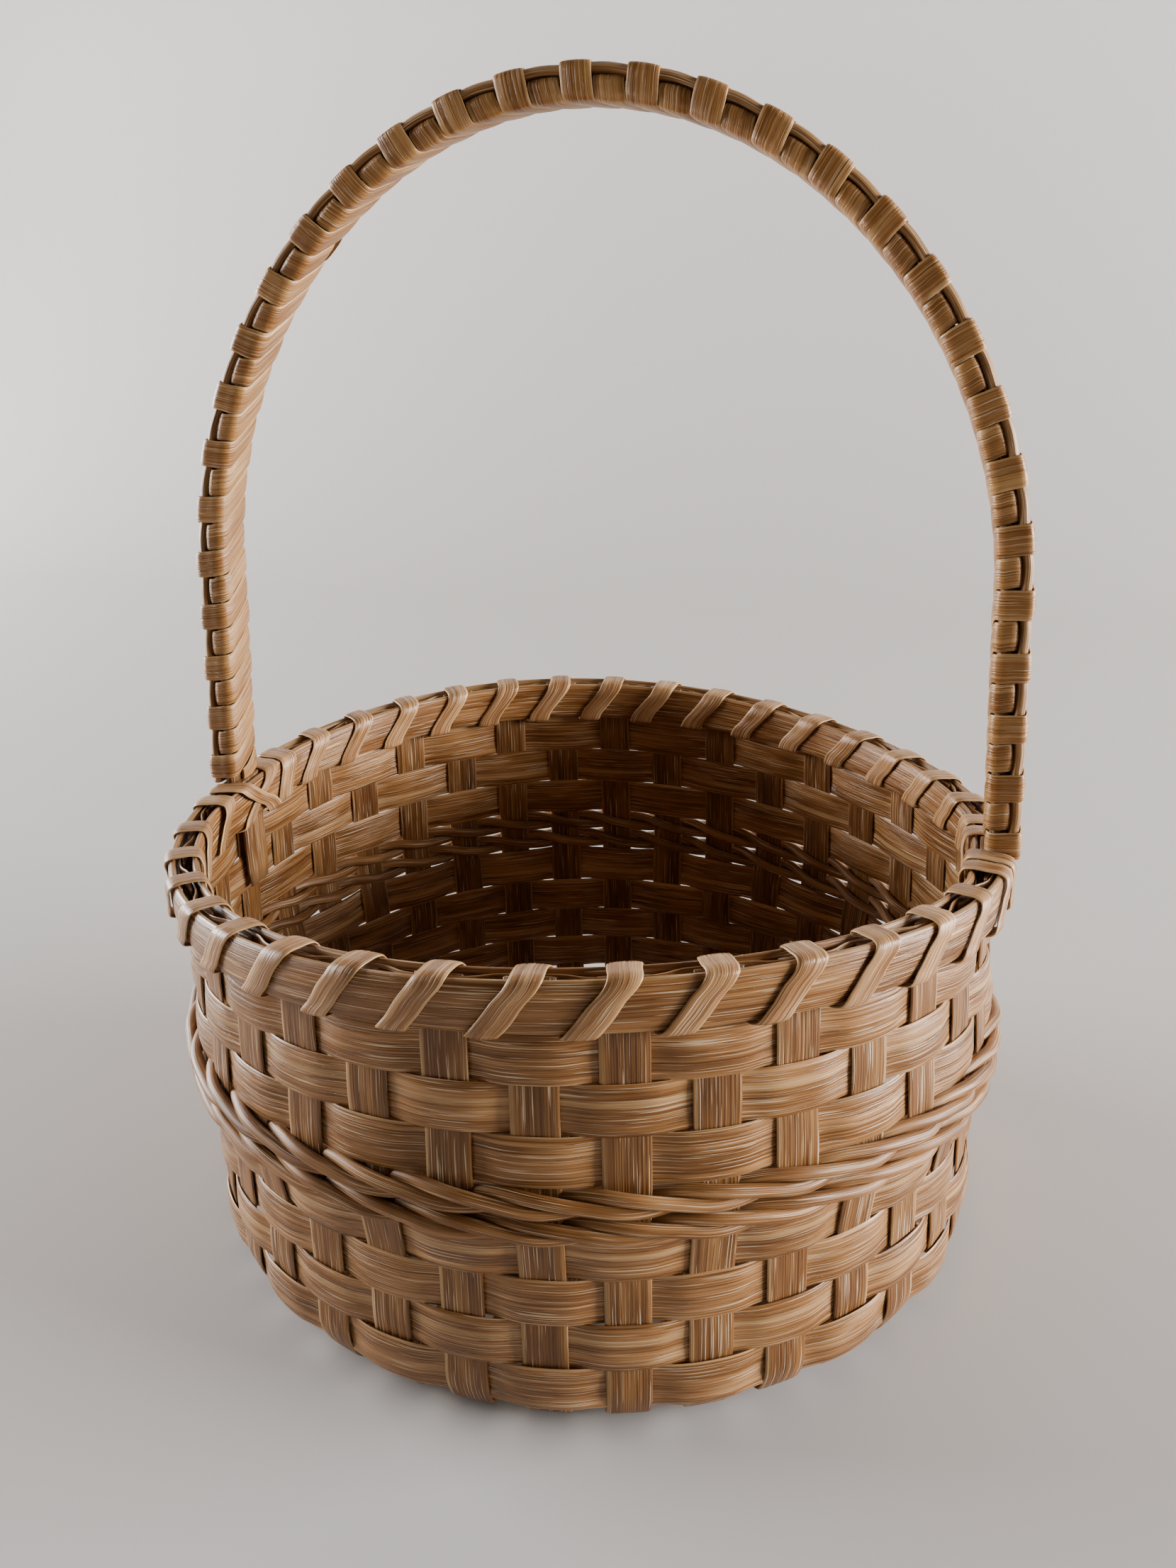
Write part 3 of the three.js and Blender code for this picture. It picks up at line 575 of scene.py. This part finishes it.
# The middle line of the handle is the outer face of its core: two straight legs and half an oval
handle = {"tailX": 140.3, "footX": 145.3, "halfWidth": 141.3, "spring": 240.6, "top": 395.8, "lean": 0.05,
          "coreWidth": 16.0, "coreThick": 5.0, "tailThick": 2.4, "tailWidth": 15.0, "tailSpread": 0.4}
turns = np.linspace(np.pi, 0, 1600)
legFoot, legTop = [handle["footX"], rimTop], [handle["halfWidth"], handle["spring"]]
handleLine = np.concatenate([
    np.linspace([-legFoot[0], legFoot[1]], [-legTop[0], legTop[1]], 300)[:-1],
    np.stack([handle["halfWidth"] * np.cos(turns),
              handle["spring"] + (handle["top"] - handle["spring"]) * np.sin(turns)], 1),
    np.linspace(legTop, legFoot, 300)[1:]])
handleReach = reachAlong(handleLine)
handleLength = handleReach[-1]
handleHeading = unit(np.gradient(handleLine, handleReach, axis=0))


# A place on the handle: so far along that line, across it and above it
def onHandle(along, across, above):
    x, z, tx, tz = (np.interp(along, handleReach, column)
                    for column in (*handleLine.T, *handleHeading.T))
    height = z + tx * above
    across = across + handle["lean"] * (height - rimTop)
    return np.stack(np.broadcast_arrays(x - tz * above, across, height), -1)


# The direction outward there
def handleOut(along):
    tx, tz = (np.interp(along, handleReach, column) for column in handleHeading.T)
    return np.stack([-tz, np.zeros_like(tx), tx], -1)


# Core: the bent hoop, with a thin tail at each end that stands inside the wall
arch = np.arange(0.6, handleLength - 0.6, 3.0)
shapes = [shapeReed(onHandle(arch, 0.0, -handle["coreThick"] / 2), handleOut(arch),
                    flatSection(handle["coreWidth"], handle["coreThick"] - 0.2))]
tailX, wallX = handle["tailX"], handle["tailX"] + handle["tailSpread"]
tailLine = [(wallX, rimFoot - 31), (wallX, rimFoot - 24), (wallX, rimFoot - 12), (tailX, rimFoot),
            (tailX, rimTop + 0.6)]
for side in (-1, 1):
    tail = np.array([[side * (x - handle["tailThick"] / 2), 0, z] for x, z in tailLine])
    shapes.append(shapeReed(tail, [side, 0, 0], flatSection(handle["tailWidth"], handle["tailThick"]),
                            wide=[0.86, 1, 1, 1, 1], thick=[0.6, 1, 1, 1, 1], grainFrom=800))
makePiece("handle_core_wood", shapes, coreWood, "handle_core")

wrap = {"width": 9.8, "thick": 0.8, "dome": 0.3, "hollow": 0.12, "turns": 20, "lengths": 3,
        "underSide": 8.5, "overSide": 9.1, "bottom": -5.75, "underTop": 0.5, "overTop": 4.6,
        "start": 5.9, "lowest": 3.2, "slack": 0.22}
pitch = (handleLength - 2 * wrap["start"]) / (wrap["turns"] * wrap["lengths"])

# The overlay is pressed down by every second turn and springs up a little between them
overlay = {"width": 17.5, "thick": 3.5, "dome": 0.2, "middle": 2.75, "spring": 0.3, "drift": 0.15}
along = np.arange(0.6, handleLength - 0.6, 1.6)
phase = (along - wrap["start"]) / (2 * pitch)
places = onHandle(along, wander(along / handleLength, 7, overlay["drift"], "overlay"),
                  overlay["middle"] - overlay["spring"] * np.cos(2 * np.pi * phase))
section = flatSection(overlay["width"], overlay["thick"], overlay["dome"])
shape = shapeReed(places, handleOut(along), section)
makePiece("handle_overlay_reed", [shape], overlayReed, "handle_overlay")


# One turn as (advance, across, above): round the core, over the overlay or under it. Most of the advance is
# made on the inner side.
def wrapTurn(over):
    side, top = (wrap["overSide"], wrap["overTop"]) if over else (wrap["underSide"], wrap["underTop"])
    bottom = wrap["bottom"]
    rise = [(0.0, side - 2.5, bottom + 0.05), (0.01, side - 0.8, bottom + 0.65),
            (0.025, side - 0.05, bottom + 2.2), (0.07, side, (bottom + top) / 2 + 0.7),
            (0.09, side, top - 1.4), (0.10, side - 0.3, top - 0.35), (0.11, side - 1.6, top - 0.02)]
    fall = [(0.30 - advance, -across, above) for advance, across, above in reversed(rise)]
    inner = [(0.48, -3.2, bottom - 0.28), (0.65, 0.0, bottom - 0.36), (0.82, 3.2, bottom - 0.28)]
    return rise + [(0.15, 0.0, top + 0.15)] + fall + inner


# A place of a turn with the way its face looks and the handle's own direction there; slack lets it stand off
def wrapStation(number, advance, across, above, slack):
    along = wrap["start"] + (number + advance) * pitch
    along = min(max(along, wrap["lowest"]), handleLength - wrap["lowest"])
    spot = onHandle(along, across * (1 + slack * 0.02), above + (slack if above > 0 else -slack * 0.3))
    top = wrap["overTop"] if number % 2 == 0 else wrap["underTop"]
    centre = (top + wrap["bottom"]) / 2
    sideways = np.array([0, across / wrap["overSide"] ** 2, 0])
    outward = sideways + handleOut(along) * (above - centre) / (top - centre) ** 2
    tx, tz = (np.interp(along, handleReach, column) for column in handleHeading.T)
    return np.concatenate([spot, outward / np.linalg.norm(outward), [tx, 0, tz]])


for length in range(wrap["lengths"]):
    name = "handle_wrap_" + "abc"[length]
    dice = random.Random(name)
    stations = []
    if length == 0:  # the tucked end that comes up from the rim inside the left leg
        stations += [wrapStation(-1, *place, 0.0) for place in wrapTurn(False)[-3:]]
    for number in range(length * wrap["turns"], (length + 1) * wrap["turns"]):
        slack = dice.uniform(0.0, wrap["slack"])
        stations += [wrapStation(number, *place, slack) for place in wrapTurn(number % 2 == 0)]
    if length == wrap["lengths"] - 1:  # the last half turn, level with the rim round the right leg
        stations += [wrapStation(number + 1, *place, 0.0) for place in wrapTurn(True)[:-3]]
    line = smoothLine(np.array(stations), 0.95)
    share = np.linspace(0, 1, len(line))
    wide = 1 + wander(share, 60, 0.02, name)
    if length == 0:
        wide *= np.clip(0.45 + share * 45, 0, 1)  # the tucked end is cut to a point
    section = flatSection(wrap["width"], wrap["thick"], wrap["dome"], wrap["hollow"])
    shape = shapeReed(line[:, :3], unit(line[:, 3:6]), section, across=line[:, 6:], wide=wide,
                      grainFrom=1500 * length)
    makePiece(name + "_reed", [shape], wrapReed, name)
print("handle wrapped")


def softPaint(name, colour, roughness):
    material = bpy.data.materials.new(name)
    material.use_nodes = True
    shader = material.node_tree.nodes["Principled BSDF"]
    shader.inputs["Base Color"].default_value = linear(colour)
    shader.inputs["Roughness"].default_value = roughness
    return material


# Paper sweep, in metres: level to a metre behind the basket, then a quarter round up into a wall
paper = {"front": -9.0, "bendFrom": 1.0, "bendRadius": 0.8, "high": 3.5, "halfWide": 9.0, "colour": "#bcb5ac"}
bendFrom, bendRadius = paper["bendFrom"], paper["bendRadius"]
bend = [(bendFrom + bendRadius * math.sin(a), bendRadius - bendRadius * math.cos(a))
        for a in np.linspace(0, np.pi / 2, 40)]
line = [(paper["front"], 0.0)] + bend + [(bendFrom + bendRadius, paper["high"])]
vertices = [(side * paper["halfWide"], depth, height) for depth, height in line for side in (-1, 1)]
mesh = bpy.data.meshes.new("floor")
mesh.from_pydata(vertices, [], [(2 * i, 2 * i + 1, 2 * i + 3, 2 * i + 2) for i in range(len(line) - 1)])
mesh.materials.append(softPaint("pale paper", paper["colour"], 0.85))
mesh.polygons.foreach_set("use_smooth", [True] * len(mesh.polygons))
floor = bpy.data.objects.new("floor", mesh)
bpy.context.scene.collection.objects.link(floor)


def softLight(name, place, aim, size, power, colour):
    light = bpy.data.lights.new(name, "AREA")
    light.shape = "RECTANGLE"
    light.size, light.size_y = size
    light.energy = power
    light.color = linear(colour)[:3]
    lamp = bpy.data.objects.new(name, light)
    lamp.location = place
    lamp.rotation_euler = (Vector(aim) - Vector(place)).to_track_quat("-Z", "Y").to_euler()
    bpy.context.scene.collection.objects.link(lamp)


# Two broad windows at the sides leave the middle of the front in soft shade
softLight("window left", (-2.4, 0.2, 0.62), (0, 0, 0.15), (1.7, 1.2), 185, "#f3f6ff")
softLight("window right", (2.4, 0.42, 0.54), (0, 0, 0.15), (1.6, 0.9), 242, "#f3f6ff")
softLight("ceiling", (0.0, 0.85, 2.2), (0, 0.4, 0), (3.4, 1.6), 7.5, "#fffaf4")
world = bpy.data.worlds.new("room")
world.use_nodes = True
world.node_tree.nodes["Background"].inputs["Color"].default_value = linear("#ebe9e8")
world.node_tree.nodes["Background"].inputs["Strength"].default_value = 0.10
bpy.context.scene.world = world

# The photo's view: angles in degrees and the roll in radians, lengths in metres, and the focal length and
# sideways shift in pixels of a frame of 1659 x 2212
shot = {"azimuth": 17.22, "elevation": 20.97, "distance": 0.4537, "target": (0, 0, 0.1652), "roll": -0.0256,
        "focal": 1720, "sideways": -6.5, "frameHigh": 2212}
azimuth, elevation = math.radians(shot["azimuth"]), math.radians(shot["elevation"])
back = Vector((math.sin(azimuth) * math.cos(elevation), -math.cos(azimuth) * math.cos(elevation),
               math.sin(elevation)))
right = Vector((0, 0, 1)).cross(back).normalized()
up = back.cross(right)
turnedRight = math.cos(shot["roll"]) * right + math.sin(shot["roll"]) * up
turnedUp = math.cos(shot["roll"]) * up - math.sin(shot["roll"]) * right
lens = bpy.data.cameras.new("camera")
lens.sensor_fit = "VERTICAL"
lens.sensor_height = 36
lens.lens = shot["focal"] / shot["frameHigh"] * 36
lens.shift_x = -shot["sideways"] / shot["frameHigh"]
lens.clip_start = 0.01
camera = bpy.data.objects.new("camera", lens)
placed = Matrix((turnedRight, turnedUp, back)).transposed().to_4x4()
placed.translation = Vector(shot["target"]) + back * shot["distance"]
camera.matrix_world = placed
bpy.context.scene.collection.objects.link(camera)
bpy.context.scene.camera = camera
